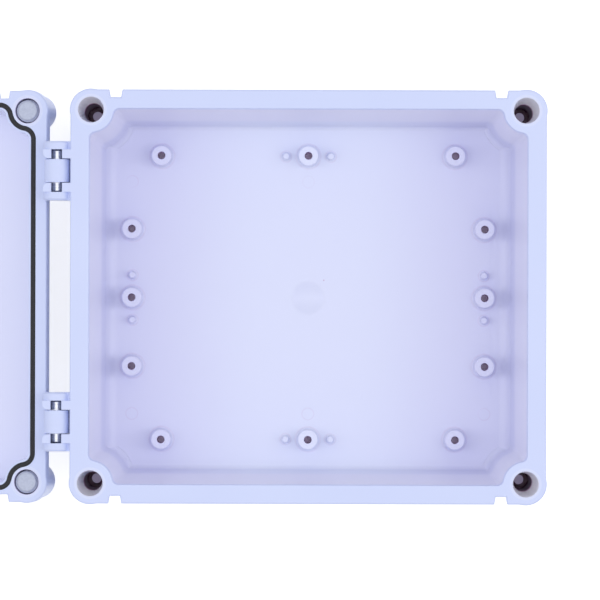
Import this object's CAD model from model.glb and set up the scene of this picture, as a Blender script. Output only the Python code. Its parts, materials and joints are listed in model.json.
# %% [markdown]
# # A moulded wall enclosure, dressed and photographed
# The construction is already packed: a deep base, a lid thrown back on its hinge, a seal, two pins and
# four captive screws. This lesson gives those pieces their plastic, rubber and steel, adds the small rounds
# and threads that a solid model leaves out, and sets up the flat overhead picture of a product page.

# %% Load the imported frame
import json
import math

import bmesh
import bpy
from mathutils import Matrix, Vector


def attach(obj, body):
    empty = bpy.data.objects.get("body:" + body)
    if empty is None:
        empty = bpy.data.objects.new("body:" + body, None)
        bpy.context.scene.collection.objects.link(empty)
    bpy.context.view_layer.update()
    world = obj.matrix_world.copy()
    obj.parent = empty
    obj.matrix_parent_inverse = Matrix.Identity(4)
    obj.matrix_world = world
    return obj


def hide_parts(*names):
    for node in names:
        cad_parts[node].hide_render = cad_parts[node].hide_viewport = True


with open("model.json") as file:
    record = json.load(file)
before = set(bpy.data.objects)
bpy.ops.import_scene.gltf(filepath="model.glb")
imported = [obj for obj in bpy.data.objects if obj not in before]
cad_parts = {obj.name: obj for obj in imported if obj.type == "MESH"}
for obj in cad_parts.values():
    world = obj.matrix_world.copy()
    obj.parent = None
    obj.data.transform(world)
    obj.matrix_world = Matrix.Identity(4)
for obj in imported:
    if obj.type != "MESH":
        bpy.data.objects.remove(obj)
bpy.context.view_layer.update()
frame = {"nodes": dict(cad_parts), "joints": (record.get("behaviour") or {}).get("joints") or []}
scene = bpy.context.scene
MM = 0.001
print("nodes:", sorted(frame["nodes"]))

# %% [markdown]
# ## Camera
# The reference is taken from straight above, from so far away that the floor of the box looks only 3.3
# percent smaller than its rim. One picture can't tell a shallow box nearby from a deep one far away. This
# model takes 72 mm from the rim down to the floor, and with that the shrink puts the lens about 2.14 m above
# the rim. The focal length then follows from the width of the frame. The point that the upright walls run
# towards lies straight below the lens, a little off the middle of the picture, so the camera stands over
# that point and looks at the middle, hardly tilted.

# %% Camera over the middle of the frame
PICTURE = 600                      # pixels along each side of the picture
MM_PER_PIXEL = 0.4588              # at the height of the rim
RIM_TOP = 75.0                     # millimetres above the ground
LENS_TO_RIM = 2143 * MM
CENTRE_PX = (308.3, 296.9)         # where the middle of the rim lies in the picture
EYE_PX = (303, 328)                # the point straight below the lens
SENSOR = 36.0                      # width of the sensor in millimetres
ROLL = math.radians(0.16)          # how far the box is turned in the picture
CLIP_END = 20                      # metres, past the far edge of the paper


def rim_point(px, py):
    """The point of the rim's plane that a pixel of the picture shows."""
    scale = MM_PER_PIXEL * MM
    return Vector(((px - CENTRE_PX[0]) * scale, (CENTRE_PX[1] - py) * scale, RIM_TOP * MM))


eye = rim_point(*EYE_PX) + Vector((0, 0, LENS_TO_RIM))
aim = rim_point(PICTURE / 2, PICTURE / 2)
camera = bpy.data.objects.new("camera", bpy.data.cameras.new("camera"))
scene.collection.objects.link(camera)
camera.data.sensor_width = SENSOR
camera.data.lens = SENSOR * LENS_TO_RIM / (PICTURE * MM_PER_PIXEL * MM)
back = (eye - aim).normalized()
right = Vector((0, 1, 0)).cross(back).normalized()
up = back.cross(right)
facing = Matrix((right, up, back)).transposed() @ Matrix.Rotation(ROLL, 3, "Z")
camera.matrix_world = Matrix.Translation(eye) @ facing.to_4x4()
camera.data.clip_end = CLIP_END
scene.camera = camera
print("lens:", round(camera.data.lens, 1), "mm at", tuple(round(v, 3) for v in eye))

# %% [markdown]
# ## Writing shaders as sums
# A shader graph is easier to read as a formula than as a web of wires. The class below wraps one socket and
# gives it Python's operators, so an expression such as (1 - mask) * 0.2 adds its own Math nodes. Every other
# node comes from one method that takes its type, its settings and the values or wires of its sockets.

# %% A socket that does maths


class Wire:
    """One output socket of a paint, with Python's operators."""

    def __init__(self, paint, socket):
        self.paint = paint
        self.socket = socket

    def math(self, operation, *others):
        return self.paint.add("ShaderNodeMath", {"operation": operation}, dict(enumerate([self, *others])))

    def __add__(self, other):
        return self.math("ADD", other)

    def __mul__(self, other):
        return self.math("MULTIPLY", other)

    def __sub__(self, other):
        return self.math("SUBTRACT", other)

    def __rsub__(self, other):
        return self.paint.add("ShaderNodeMath", {"operation": "SUBTRACT"}, {0: other, 1: self})

    def __abs__(self):
        return self.math("ABSOLUTE")

    __radd__ = __add__
    __rmul__ = __mul__

    def least(self, other):
        return self.math("MINIMUM", other)

    def most(self, other):
        return self.math("MAXIMUM", other)

    def ramp(self, low, high, start=0.0, end=1.0):
        """A smooth step from start at low to end at high."""
        values = {"Value": self, "From Min": low, "From Max": high, "To Min": start, "To Max": end}
        return self.paint.add("ShaderNodeMapRange", {"interpolation_type": "SMOOTHSTEP"}, values)

    def band(self, middle, half, soft):
        """1 within half of the middle, fading to 0 over soft."""
        return abs(self - middle).ramp(half, half + soft, 1.0, 0.0)


print("sockets do maths")

# %% A paint that makes nodes


class Paint:
    """The nodes of one material, or of the world, and the one method that adds them."""

    def __init__(self, owner):
        owner.use_nodes = True
        self.owner = owner
        self.tree = owner.node_tree
        self.tree.nodes.clear()

    def add(self, kind, settings=None, inputs=None, output=0):
        """Adds a node: its settings first, then the values or wires of its sockets.
        Returns the wire of one output, or None for a node that has none."""
        node = self.tree.nodes.new(kind)
        for key, value in (settings or {}).items():
            setattr(node, key, value)
        for key, value in (inputs or {}).items():
            if isinstance(value, Wire):
                self.tree.links.new(value.socket, node.inputs[key])
            else:
                node.inputs[key].default_value = value
        return Wire(self, node.outputs[output]) if len(node.outputs) else None

    def mix(self, factor, first, second):
        """A colour between two colours."""
        return self.add("ShaderNodeMix", {"data_type": "RGBA"}, {0: factor, 6: first, 7: second}, output=2)

    def place(self, hinge=(0, 0, 0), turn=0.0):
        """The point on the piece in millimetres, as a vector and as x, y and z, turned about a hinge."""
        metres = self.add("ShaderNodeTexCoord", output=3)
        point = self.add("ShaderNodeVectorMath", {"operation": "SCALE"}, {0: metres, "Scale": 1000.0})
        if turn:
            sockets = {"Vector": point, "Center": hinge, "Axis": (0, 1, 0), "Angle": turn}
            point = self.add("ShaderNodeVectorRotate", {"rotation_type": "AXIS_ANGLE"}, sockets)
        return point, *(self.add("ShaderNodeSeparateXYZ", None, {0: point}, output=axis) for axis in range(3))

    def reach(self, x, y, middle):
        """How far the point lies from an upright line."""
        flat = self.add("ShaderNodeCombineXYZ", None, {0: x, 1: y})
        settings = {"operation": "DISTANCE"}
        return self.add("ShaderNodeVectorMath", settings, {0: flat, 1: (*middle, 0)}, output=1)

    def noise(self, point, size, detail=2.0):
        """Noise from 0 to 1 whose features are about size millimetres across."""
        sockets = {"Vector": point, "Scale": 1 / size, "Detail": detail}
        return self.add("ShaderNodeTexNoise", None, sockets)

    def bump(self, height, strength, distance):
        """The normal of a surface that is raised by height, up to distance millimetres."""
        sockets = {"Strength": strength, "Distance": distance * MM, "Height": height}
        return self.add("ShaderNodeBump", None, sockets)

    def finish(self, **sockets):
        """Closes the material with a Principled shader on those sockets."""
        shader = self.add("ShaderNodeBsdfPrincipled", None, sockets)
        self.add("ShaderNodeOutputMaterial", None, {"Surface": shader})
        return self.owner


print("paint makes nodes")

# %% [markdown]
# ## Plastic
# The walls are taken to be ABS, injection-moulded in a polished tool: a very pale, slightly violet grey with
# a soft shine. A single colour would look like paint, so the colour drifts by a percent or two over a hand's
# width. Deep in the box the plastic looks pinker than at the rim, as if light that soaks through it came back
# warm, and the moulded holes are darker still. An image wrapped round the moulding could carry all this, but
# masks worked out from the place in millimetres stay sharp at every size and need no unwrapping.

# %% Places on the moulding, in millimetres
STANDOFFS = [(69.4, 67.0), (83.3, 32.4), (83.3, 0.0), (0.0, 67.0)]     # each stands in every quarter
STANDOFF_RADIUS, STANDOFF_TOP = 4.75, 15.0
PINS = [(10.6, 67.0), (83.3, 10.6)]
PIN_RADIUS, PIN_TOP = 1.55, 8.0
FLOOR_TOP = 3.0
WELL = (100.0, 85.75)
WELL_MOUTH_RADIUS = 5.9
TAPER_END = 42.0                   # the height at which the taper of a well ends
BOSS_RADIUS = 10.3                 # of the boss round a well, at the rim
CORNERS = [(-1, -1), (-1, 1), (1, -1), (1, 1)]
MID_WALL = (102.3, 87.9)           # halfway through the walls, at the rim
DRAFT = math.radians(4)            # the walls lean inwards away from the rim
BASE_DEPTH, LID_DEPTH = 72.0, 22.0     # from each rim to the floor or the roof inside
HINGE = Vector((-115.7, 0, 69))
OPEN = math.radians(next(j["range_deg"][1] for j in frame["joints"] if j["name"] == "lid_hinge"))
PILOT_RADIUS = 1.8
EJECTORS = [(83.5, 55.0), (0.0, 55.0)]
EJECTOR_RADIUS = 2.8
SPECK = (7.4, 8.4)                 # a burnt speck in the floor
SINK_X, SINK_Y = 87.5, 27.0        # a shallow line along the row of standoffs on the right
FOOT_LINE = 0.09                   # how much darker the thin lines round feet and ejectors are
print(len(STANDOFFS), "kinds of standoff")

# %% Colours of the plastic
SHELL = (0.695, 0.758, 0.988, 1)
SHELL_DRIFT = (0.680, 0.743, 0.982, 1)
SHELL_DEEP = (0.825, 0.855, 0.998, 1)
SHELL_ENDS = (0.765, 0.770, 0.950, 1)
SHELL_WALL = (0.880, 0.870, 0.998, 1)
WELL_GLOW = (0.800, 0.780, 0.999, 1)
HOLE_DARK = (0.520, 0.200, 0.420, 1)
PILOT_DARK = (0.900, 0.780, 0.970, 1)
LAND_TINT = 0.4                    # how much of the deep floor's colour the land round a well takes
SOAK_DEPTH = 0.04                  # how far light soaks into the thin walls of the wells, in metres
SOAK_TINT = (1.0, 0.9, 0.95)       # the same for red, green and blue light, as shares of that
DRIFT_SIZE, RIPPLE_SIZE, GRAIN_SIZE = 70, 16, 0.35     # millimetres across
AT_LEVEL = 0.1                     # how close to a height counts as at it, in millimetres
print("colours ready")

# %% Masks for the inside of a moulding and for what stands near a place


def inside_mask(across, along, depth, depth_inside):
    """1 inside a moulding, 0 on its rim, beyond its floor and outside the middle of its leaning walls."""
    inside = depth.ramp(0.2, 7) * depth.ramp(depth_inside + 0.5, depth_inside + 1.5, 1, 0)
    for side, middle in zip((across, along), MID_WALL):
        leaning = side + depth * math.tan(DRAFT)
        inside = inside * leaning.ramp(middle - 0.3, middle + 0.3, 1, 0)
    return inside


def nearest(paint, across, along, places):
    """How far the point lies from the nearest of several upright lines."""
    first, *others = (paint.reach(across, along, middle) for middle in places)
    for other in others:
        first = first.least(other)
    return first


print("masks ready")

# %% Wells, pilot holes and feet


def tint_wells(paint, colour, across, along, z):
    """A paler land round each screw well, light in its taper and darkness below."""
    from_well = paint.reach(across, along, WELL)
    land = from_well.band(WELL_MOUTH_RADIUS + 0.7, 0.5, 0.4) * z.ramp(RIM_TOP - 0.5, RIM_TOP - 0.1)
    colour = paint.mix(land * LAND_TINT, colour, SHELL_DEEP)
    well = from_well.ramp(WELL_MOUTH_RADIUS + 0.1, WELL_MOUTH_RADIUS + 0.2, 1, 0)
    lining = paint.mix(z.ramp(TAPER_END, TAPER_END + 4), HOLE_DARK, WELL_GLOW)
    return paint.mix(well, colour, lining)


def tint_feet(paint, colour, across, along, z):
    """Dark pilot holes, and the thin lines round the feet of standoffs and pins."""
    standoff = nearest(paint, across, along, STANDOFFS)
    pilot = standoff.ramp(PILOT_RADIUS + 0.05, PILOT_RADIUS + 0.15, 1, 0)
    pilot = pilot * z.ramp(STANDOFF_TOP - 1.2, STANDOFF_TOP - 0.3, 1, 0)
    colour = paint.mix(pilot, colour, PILOT_DARK)
    foot = standoff.band(STANDOFF_RADIUS + 1.1, 0.15, 0.5)
    foot = foot.most(nearest(paint, across, along, PINS).band(PIN_RADIUS + 1.1, 0.1, 0.45))
    return paint.mix(foot * z.ramp(FLOOR_TOP + 1, FLOOR_TOP + 2, FOOT_LINE, 0), colour, HOLE_DARK)


print("tints of wells and feet ready")

# %% Marks of the mould on the floor


def floor_marks(paint, x, y, z, ripple):
    """The ejector rings, the burnt speck and the shallow sink line, each as a mask."""
    across, along, floor = abs(x), abs(y), z.band(FLOOR_TOP, AT_LEVEL, AT_LEVEL)
    ring = nearest(paint, across, along, EJECTORS).band(EJECTOR_RADIUS, 0.12, 0.3)
    speck = paint.reach(x, y, SPECK).ramp(0.15, 0.45, 0.6, 0)
    sink = x.band(SINK_X, 0.5, 0.9) * along.band(SINK_Y, 17, 4)
    return ring * floor * ripple.ramp(0.35, 0.6), speck * floor, sink * floor


print("floor marks ready")

# %% The plastic of each moulding


def moulded_plastic(name, depth_inside, turn=0.0, tint=1.0, soak=0.0):
    """The plastic of one moulding. turn carries the open lid's points back to where the lid is shut, tint
    says how strongly the inside warms with depth, and soak how much light wanders about in the plastic."""
    paint = Paint(bpy.data.materials.new(name))
    point, x, y, z = paint.place(HINGE, turn)
    across, along, depth = abs(x), abs(y), abs(z - RIM_TOP)
    drift = paint.noise(point, DRIFT_SIZE, 3)
    ripple = paint.noise(point, RIPPLE_SIZE)
    grain = paint.noise(point, GRAIN_SIZE)
    colour = paint.mix(drift.ramp(0.35, 0.65), SHELL, SHELL_DRIFT)
    deep = paint.mix(across.ramp(20, 80), SHELL_DEEP, SHELL_ENDS)
    deep = paint.mix(z.ramp(16, 30), deep, SHELL_WALL)
    colour = paint.mix(inside_mask(across, along, depth, depth_inside) * tint, colour, deep)
    colour = tint_wells(paint, colour, across, along, z)
    colour = tint_feet(paint, colour, across, along, z)
    ring, speck, sink = floor_marks(paint, x, y, z, ripple)
    colour = paint.mix(ring * FOOT_LINE, colour, HOLE_DARK)
    colour = paint.mix(speck, colour, HOLE_DARK)
    gloss = 0.27 + ripple * 0.06 + grain * 0.04
    height = ripple * 0.5 + grain * 0.01 - ring * 0.25 - sink * 0.5
    return paint.finish(**{"Base Color": colour, "Roughness": gloss, "Normal": paint.bump(height, 0.3, 0.3),
                           "IOR": 1.5, "Subsurface Weight": soak, "Subsurface Radius": SOAK_TINT,
                           "Subsurface Scale": SOAK_DEPTH})


shell_plastic = moulded_plastic("shell_plastic", BASE_DEPTH)
well_plastic = moulded_plastic("well_plastic", BASE_DEPTH, soak=1.0)
lid_plastic = moulded_plastic("lid_plastic", LID_DEPTH, turn=OPEN, tint=0.6)
print("plastic ready")

# %% [markdown]
# ## Rubber, polyamide and steel
# None of these is in the reference, so each gets the finish that is usual for it: matt black foam rubber for
# the seal, polyamide for the lid screws, a little duller than the box, and plain steel rod for the hinge
# pins, with fine lines round it. They hardly show in the picture, so one noise each is enough: it shifts
# colour, gloss and bump together, and for the steel it is stretched into lines.

# %% Seal, screws and pins
RUBBER = (0.018, 0.018, 0.020, 1), (0.035, 0.035, 0.038, 1)
POLYAMIDE = (0.50, 0.54, 0.66, 1), (0.57, 0.61, 0.73, 1)
STEEL = (0.50, 0.51, 0.53, 1), (0.62, 0.63, 0.65, 1)
ROUND_THE_ROD, ALONG_THE_ROD = 0.04, 3     # how fast the brushed lines change each way


def foam_rubber():
    paint = Paint(bpy.data.materials.new("foam_rubber"))
    point, *_ = paint.place()
    pores = paint.noise(point, 0.45, 4)
    colour = paint.mix(pores.ramp(0.4, 0.6), *RUBBER)
    return paint.finish(**{"Base Color": colour, "Roughness": 0.75 + pores * 0.15,
                           "Normal": paint.bump(pores, 0.5, 0.3)})


def polyamide():
    paint = Paint(bpy.data.materials.new("polyamide"))
    point, *_ = paint.place()
    haze = paint.noise(point, 1.1, 3)
    colour = paint.mix(haze.ramp(0.3, 0.7), *POLYAMIDE)
    return paint.finish(**{"Base Color": colour, "Roughness": 0.36 + haze * 0.12,
                           "Normal": paint.bump(haze, 0.2, 0.2)})


def drawn_steel():
    paint = Paint(bpy.data.materials.new("drawn_steel"))
    point, x, y, z = paint.place()
    stretched = {0: x * ROUND_THE_ROD, 1: y * ALONG_THE_ROD, 2: z * ROUND_THE_ROD}
    lines = paint.noise(paint.add("ShaderNodeCombineXYZ", None, stretched), 1, 3)
    colour = paint.mix(lines.ramp(0.35, 0.65), *STEEL)
    return paint.finish(**{"Base Color": colour, "Metallic": 1.0, "Roughness": 0.24 + lines * 0.14,
                           "Normal": paint.bump(lines, 0.15, 0.1)})


seal_rubber = foam_rubber()
screw_polyamide = polyamide()
pin_steel = drawn_steel()
for node, piece in frame["nodes"].items():
    if node.startswith("hinge_pin"):
        piece.data.materials.clear()
        piece.data.materials.append(pin_steel)
print("seal, screw and pin finishes ready")

# %% [markdown]
# ## Soft edges
# No moulded edge is a knife edge. A mould is cut with round tools, so corners inside it come out rounded, and
# the standoffs grow out of the floor through a generous fillet that keeps them from snapping off. The solid
# model has these edges sharp. Here each moulding is copied, its flat faces are merged, and a Bevel modifier
# rounds every sharp edge by its own amount, which the edge's place decides. The flat faces keep their area,
# so Weighted Normal leaves them flat and lets only the narrow rounds shade softly.

# %% Copy a moulding and round its edges
WELD = 0.002 * MM                  # points closer than this are one
FLAT = math.radians(0.3)           # faces that meet at less than this are merged
SHARP = math.radians(28)           # an edge with a larger angle than this gets a round
WIDEST_ROUND = 1.4                 # millimetres, where an edge has its full weight


def softened(name, node, edge_round, material):
    """A copy of a node's mesh with rounded edges. edge_round gives the round at a place, in millimetres."""
    form = bmesh.new()
    form.from_mesh(frame["nodes"][node].data)
    bmesh.ops.remove_doubles(form, verts=form.verts, dist=WELD)
    bmesh.ops.dissolve_limit(form, angle_limit=FLAT, verts=form.verts, edges=form.edges)
    weight = form.edges.layers.float.new("bevel_weight_edge")
    for edge in form.edges:
        if edge.calc_face_angle(0) > SHARP:
            middle = (edge.verts[0].co + edge.verts[1].co) / (2 * MM)
            edge[weight] = edge_round(*middle) / WIDEST_ROUND
    mesh = bpy.data.meshes.new(name)
    form.to_mesh(mesh)
    form.free()
    piece = bpy.data.objects.new(name, mesh)
    scene.collection.objects.link(piece)
    bevel = piece.modifiers.new("rounds", "BEVEL")
    bevel.limit_method = "WEIGHT"
    bevel.width = WIDEST_ROUND * MM
    bevel.segments = 3
    bevel.use_clamp_overlap = False
    bevel.loop_slide = False
    piece.data = bpy.data.meshes.new_from_object(piece.evaluated_get(bpy.context.evaluated_depsgraph_get()))
    piece.modifiers.clear()
    piece.data.shade_smooth()
    normals = piece.modifiers.new("flat faces stay flat", "WEIGHTED_NORMAL")
    normals.keep_sharp = False
    piece.data.materials.clear()
    piece.data.materials.append(material)
    print(name, "has", len(piece.data.polygons), "faces")
    return piece


print("edges over", round(math.degrees(SHARP)), "degrees get a round")

# %% The rounds of the base
EDGE_ROUND = 0.3                   # millimetres, where nothing else is said
STANDOFF_ROUNDS = 1.4, 0.6         # at the foot and at the top
PIN_ROUNDS = 1.1, 0.5
EAR_START, EAR_ROUND = -108.0, 0.15    # the hinge ears have many short edges close together
ON_EDGE = 0.1                      # an edge this close to a circle or a height belongs to it


def base_round(x, y, z):
    """The round of an edge of the base, in millimetres."""
    kinds = (
        (STANDOFFS, STANDOFF_RADIUS, STANDOFF_TOP, STANDOFF_ROUNDS),
        (PINS, PIN_RADIUS, PIN_TOP, PIN_ROUNDS),
    )
    for places, radius, top, (foot_round, top_round) in kinds:
        if any(abs(math.hypot(abs(x) - px, abs(y) - py) - radius) < ON_EDGE for px, py in places):
            if abs(z - FLOOR_TOP) < ON_EDGE:
                return foot_round
            if abs(z - top) < ON_EDGE:
                return top_round
    return EAR_ROUND if x < EAR_START else EDGE_ROUND


def line_the_wells(moulding):
    """Gives the mouths of the screw wells the plastic that glows from within."""
    moulding.data.materials.append(well_plastic)
    for face in moulding.data.polygons:
        x, y, z = face.center / MM
        if z > TAPER_END and math.hypot(abs(x) - WELL[0], abs(y) - WELL[1]) < WELL_MOUTH_RADIUS + 0.2:
            face.material_index = 1


base_moulding = softened("base_moulding", "base", base_round, shell_plastic)
line_the_wells(base_moulding)
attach(base_moulding, "base")
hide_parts("base")

# %% The lid and its seal
LID_ROUND = 0.2                    # only 0.6 of flat is left between screw pocket and chamfer
SEAL_ROUND = 0.6
lid_moulding = softened("lid_moulding", "lid", lambda x, y, z: LID_ROUND, lid_plastic)
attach(lid_moulding, "lid")
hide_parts("lid")
seal = softened("seal", "gasket", lambda x, y, z: SEAL_ROUND, seal_rubber)
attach(seal, "lid")
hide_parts("gasket")

# %% [markdown]
# ## Fillets round the corner bosses
# Where the round boss of each screw well meets the floor, the real tool leaves a wide fillet. A bevel of that
# width would run into the coves of the walls beside it, so this one is a sweep of its own: a concave arc that
# touches the floor at one end and the leaning side of the boss at the other, carried round the boss. Its ends
# disappear inside the coves and its back inside the boss.

# %% Sweep a concave arc round each boss
FILLET = 3.0                       # millimetres
BOSS_FOOT_RADIUS = BOSS_RADIUS + BASE_DEPTH * math.tan(DRAFT)
SWEEP = (math.radians(191), math.radians(260))         # from the cove of one wall to that of the other
SWEEP_STEPS, ARC_STEPS = 36, 8
BURIED = 0.8                       # how deep the sweep's back lies in the boss and the floor


def fillet_profile():
    """The fillet's section: distance from the boss's axis and height over the floor, in millimetres."""
    touch = FILLET / math.tan((math.pi / 2 + DRAFT) / 2)
    middle = BOSS_FOOT_RADIUS + touch
    start, end = math.radians(270), math.radians(180) + DRAFT
    points = []
    for step in range(ARC_STEPS + 1):
        angle = start + (end - start) * step / ARC_STEPS
        points.append((middle + FILLET * math.cos(angle), FILLET + FILLET * math.sin(angle)))
    last = points[-1]
    return points + [(last[0] - BURIED, last[1]), (last[0] - BURIED, -BURIED), (middle, -BURIED)]


def boss_fillets():
    """The four fillets as one piece."""
    form = bmesh.new()
    profile = fillet_profile()
    for side_x, side_y in CORNERS:
        rings = []
        for step in range(SWEEP_STEPS + 1):
            angle = SWEEP[0] + (SWEEP[1] - SWEEP[0]) * step / SWEEP_STEPS
            ring = []
            for radius, height in profile:
                x = side_x * (WELL[0] + radius * math.cos(angle))
                y = side_y * (WELL[1] + radius * math.sin(angle))
                ring.append(form.verts.new((x * MM, y * MM, (FLOOR_TOP + height) * MM)))
            rings.append(ring)
        for near, far in zip(rings, rings[1:]):
            for i in range(len(profile)):
                j = (i + 1) % len(profile)
                form.faces.new((near[i], near[j], far[j], far[i])).smooth = i < ARC_STEPS
        form.faces.new(rings[0])
        form.faces.new(reversed(rings[-1]))
    bmesh.ops.recalc_face_normals(form, faces=form.faces)
    mesh = bpy.data.meshes.new("boss_fillets")
    form.to_mesh(mesh)
    form.free()
    mesh.materials.append(shell_plastic)
    piece = bpy.data.objects.new("boss_fillets", mesh)
    scene.collection.objects.link(piece)
    return piece


fillets = boss_fillets()
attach(fillets, "base")
print("fillets:", len(fillets.data.polygons), "faces")

# %% [markdown]
# ## Threads
# The lid screws are moulded too, with a coarse round thread that bites into the tapered well. The packed
# screw has a plain cylinder there. The head and neck are kept from it, with rounded edges, and the cylinder
# is cut off. In its place comes a grid of points whose distance from the axis rises and falls as it climbs:
# adding the angle to the height turns plain rings into one helix. A Screw modifier could sweep one profile
# round as well, but in a grid the crest can fade out at both ends, as it does on a moulded thread.

# %% The shape of the thread
THROWN_BACK = Matrix.Rotation(-OPEN, 3, "Y")
NECK_END, THREAD_END = 84.0, 75.5  # heights in the shut lid
CORE, CREST, PITCH = 4.3, 5.35, 2.1    # two radii, and the climb in one turn
CREST_SHARE, CREST_ROUNDNESS = 0.3, 0.7    # half the crest's share of the pitch, and how full it is
RUN_OUT = 1.2                      # over this height the thread fades at both ends
THREAD_TURN, THREAD_ROWS = 48, 52  # points round the screw, and steps down it
CUT_ABOVE = 0.3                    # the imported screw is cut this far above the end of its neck
ROOT = [(0.5, 3.0), (0.2, 3.3)]    # first rings, from inside the neck: height above its end, and radius
TIP_RADIUS = 3.6                   # of the flat end


def opened(point):
    """Carries a point of the shut lid, in millimetres, to where the lid lies open, in metres."""
    return (HINGE + THROWN_BACK @ (Vector(point) - HINGE)) * MM


def thread_radius(height, angle):
    """Distance of the thread's surface from the screw's axis."""
    phase = (height / PITCH + angle / (2 * math.pi)) % 1
    crest = max(0.0, 1 - abs(phase - 0.5) / CREST_SHARE) ** CREST_ROUNDNESS
    run_out = min(1.0, (height - THREAD_END) / RUN_OUT, (NECK_END - height) / RUN_OUT)
    return CORE + (CREST - CORE) * crest * max(0.0, run_out)


print("thread:", round((NECK_END - THREAD_END) / PITCH, 1), "turns")

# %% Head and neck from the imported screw, thread from a helix


def threaded_screw(number, x, y):
    """One lid screw, over the well at x, y of the shut lid."""
    name = f"lid_screw_{number}"
    piece = softened(f"screw_{number}", name, lambda px, py, pz: EDGE_ROUND, screw_polyamide)
    form = bmesh.new()
    form.from_mesh(piece.data)
    cut = opened((x, y, NECK_END + CUT_ABOVE))
    axis = (opened((x, y, 0)) - opened((x, y, 1))).normalized()
    geometry = form.verts[:] + form.edges[:] + form.faces[:]
    bmesh.ops.bisect_plane(form, geom=geometry, plane_co=cut, plane_no=axis, clear_outer=True)
    rings = []
    heights = [NECK_END - (NECK_END - THREAD_END) * row / THREAD_ROWS for row in range(THREAD_ROWS + 1)]
    rows = [(NECK_END + above, radius) for above, radius in ROOT]
    rows += [(height, None) for height in heights] + [(THREAD_END, TIP_RADIUS)]
    for height, radius in rows:
        ring = []
        for step in range(THREAD_TURN):
            angle = 2 * math.pi * step / THREAD_TURN
            r = radius or thread_radius(height, angle)
            ring.append(form.verts.new(opened((x + r * math.cos(angle), y + r * math.sin(angle), height))))
        rings.append(ring)
    for upper, lower in zip(rings, rings[1:]):
        for i in range(THREAD_TURN):
            j = (i + 1) % THREAD_TURN
            form.faces.new((upper[i], lower[i], lower[j], upper[j])).smooth = True
    form.faces.new(reversed(rings[-1]))
    bmesh.ops.recalc_face_normals(form, faces=form.faces)
    form.to_mesh(piece.data)
    form.free()
    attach(piece, name)
    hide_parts(name)


for number, (side_x, side_y) in enumerate(CORNERS, 1):
    threaded_screw(number, side_x * WELL[0], side_y * WELL[1])
print("four screws threaded")

# %% [markdown]
# ## Light and ground
# The reference looks evenly lit, as if by a white room and two large soft boxes, one to the left and one to
# the right, that give each standoff a short soft shadow on either side. The ground is white paper. Lit alone,
# it would come out grey, so to the camera it also glows: it shows as pure white in the open and still keeps
# the shadow close to the box and the grey at the foot of the screw wells.

# %% Two soft boxes
LAMP_AWAY = 2.5                    # metres from the box
LAMP_RISE = math.radians(55)
LAMP_SIZE = (0.88, 3.4)
LAMP_POWER = (13.2, 15.8)          # left, right: the reference is a little stronger from the right
DAYLIGHT = (0.91, 0.925, 1.0)      # the slight coolness of the reference's light


def soft_box(name, side, power):
    """A large lamp beside the box, turned to its middle."""
    data = bpy.data.lights.new(name, "AREA")
    data.shape = "RECTANGLE"
    data.size, data.size_y = LAMP_SIZE
    data.energy = power
    data.color = DAYLIGHT
    lamp = bpy.data.objects.new(name, data)
    lamp.location = (side * LAMP_AWAY * math.cos(LAMP_RISE), 0, LAMP_AWAY * math.sin(LAMP_RISE))
    lamp.rotation_euler = (-lamp.location).to_track_quat("-Z", "Y").to_euler()
    scene.collection.objects.link(lamp)


soft_box("lamp_left", -1, LAMP_POWER[0])
soft_box("lamp_right", 1, LAMP_POWER[1])
print("lamps ready")

# %% A white room that also shows in reflections and through holes
WHITE = (1, 1, 1, 1)
ROOM_LIGHT = 0.66


def seen(paint):
    """1 for what the camera sees directly, in a reflection or through a clear piece."""
    camera_ray, glossy, transmission = (paint.add("ShaderNodeLightPath", output=way) for way in (0, 3, 6))
    return camera_ray.most(glossy).most(transmission)


scene.world = bpy.data.worlds.new("white_room")
air = Paint(scene.world)
room = air.add("ShaderNodeBackground", None, {"Color": (*DAYLIGHT, 1), "Strength": ROOM_LIGHT})
white = air.add("ShaderNodeBackground", None, {"Color": WHITE, "Strength": 1.0})
both = air.add("ShaderNodeMixShader", None, {0: seen(air), 1: room, 2: white})
air.add("ShaderNodeOutputWorld", None, {"Surface": both})
scene.view_settings.view_transform = "Standard"
print("room ready")

# %% Paper that keeps a soft shadow
PAPER = (0.75, 0.75, 0.76, 1)
PAPER_GLOW = (0.72, 0.72, 0.72, 1)
UNDER_WELL_GLOW = (0.15, 0.13, 0.20, 1)
UNDER_WELL = (6.5, 7.5)            # the glow fades between these radii, in millimetres
PAPER_HALF = 6                     # half the paper's width, in metres
paper_form = bmesh.new()
bmesh.ops.create_grid(paper_form, x_segments=1, y_segments=1, size=PAPER_HALF)
paper_mesh = bpy.data.meshes.new("paper")
paper_form.to_mesh(paper_mesh)
paper_form.free()
paper = Paint(bpy.data.materials.new("paper"))
matt = paper.add("ShaderNodeBsdfDiffuse", None, {"Color": PAPER})
_, paper_x, paper_y, _ = paper.place()
under_well = paper.reach(abs(paper_x), abs(paper_y), WELL).ramp(*UNDER_WELL, 1, 0)
glow_colour = paper.mix(under_well, PAPER_GLOW, UNDER_WELL_GLOW)
glow = paper.add("ShaderNodeEmission", None, {"Color": glow_colour, "Strength": 1.0})
dark = paper.add("ShaderNodeEmission", None, {"Color": WHITE, "Strength": 0.0})
shown = paper.add("ShaderNodeMixShader", None, {0: seen(paper), 1: dark, 2: glow})
lit = paper.add("ShaderNodeAddShader", None, {0: matt, 1: shown})
paper.add("ShaderNodeOutputMaterial", None, {"Surface": lit})
paper_mesh.materials.append(paper.owner)
ground = bpy.data.objects.new("paper", paper_mesh)
scene.collection.objects.link(ground)
print("ground ready")
